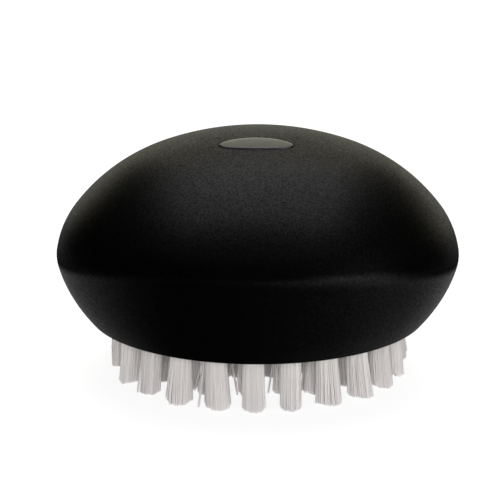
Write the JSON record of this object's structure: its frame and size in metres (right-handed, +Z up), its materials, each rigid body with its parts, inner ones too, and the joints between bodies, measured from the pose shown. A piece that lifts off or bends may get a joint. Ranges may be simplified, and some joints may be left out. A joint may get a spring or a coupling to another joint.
{
  "type": "vegetable brush",
  "caption": "Palm-sized vegetable brush: a black soft-grip dome with an arched crease over a round block of stiff white bristle tufts cut to one flat plane.",
  "frame": {"origin": "middle of the flat plane of the bristle tips, which the brush stands on", "axes": "+Z up out of the top of the dome, -Y towards the front, where the badge is, +X to the right seen from the front"},
  "size_m": [0.0822, 0.0796, 0.0493],
  "materials": {
    "grip_rubber": "soft-touch matte",
    "core_plastic": "moulded",
    "block_plastic": "moulded satin",
    "badge_plastic": "polished",
    "bristle_nylon": "drawn nylon filament",
    "anchor_steel": "flat wire"
  },
  "bodies": {
    "root": {"grip_shell": "grip_rubber", "grip_core": "core_plastic", "bristle_block": "block_plastic", "badge_inlay": "badge_plastic", "tuft_anchors": "anchor_steel", "tuft_outer_01": "bristle_nylon", "tuft_outer_02": "bristle_nylon", "tuft_outer_03": "bristle_nylon", "tuft_outer_04": "bristle_nylon", "tuft_outer_05": "bristle_nylon", "tuft_outer_06": "bristle_nylon", "tuft_outer_07": "bristle_nylon", "tuft_outer_08": "bristle_nylon", "tuft_outer_09": "bristle_nylon", "tuft_outer_10": "bristle_nylon", "tuft_outer_11": "bristle_nylon", "tuft_outer_12": "bristle_nylon", "tuft_outer_13": "bristle_nylon", "tuft_outer_14": "bristle_nylon", "tuft_outer_15": "bristle_nylon", "tuft_outer_16": "bristle_nylon", "tuft_outer_17": "bristle_nylon", "tuft_outer_18": "bristle_nylon", "tuft_outer_19": "bristle_nylon", "tuft_outer_20": "bristle_nylon", "tuft_outer_21": "bristle_nylon", "tuft_outer_22": "bristle_nylon", "tuft_outer_23": "bristle_nylon", "tuft_outer_24": "bristle_nylon", "tuft_middle_01": "bristle_nylon", "tuft_middle_02": "bristle_nylon", "tuft_middle_03": "bristle_nylon", "tuft_middle_04": "bristle_nylon", "tuft_middle_05": "bristle_nylon", "tuft_middle_06": "bristle_nylon", "tuft_middle_07": "bristle_nylon", "tuft_middle_08": "bristle_nylon", "tuft_middle_09": "bristle_nylon", "tuft_middle_10": "bristle_nylon", "tuft_middle_11": "bristle_nylon", "tuft_middle_12": "bristle_nylon", "tuft_middle_13": "bristle_nylon", "tuft_middle_14": "bristle_nylon", "tuft_middle_15": "bristle_nylon", "tuft_middle_16": "bristle_nylon", "tuft_middle_17": "bristle_nylon", "tuft_middle_18": "bristle_nylon", "tuft_inner_01": "bristle_nylon", "tuft_inner_02": "bristle_nylon", "tuft_inner_03": "bristle_nylon", "tuft_inner_04": "bristle_nylon", "tuft_inner_05": "bristle_nylon", "tuft_inner_06": "bristle_nylon", "tuft_inner_07": "bristle_nylon", "tuft_inner_08": "bristle_nylon", "tuft_inner_09": "bristle_nylon", "tuft_centre": "bristle_nylon"}
  },
  "joints": []
}
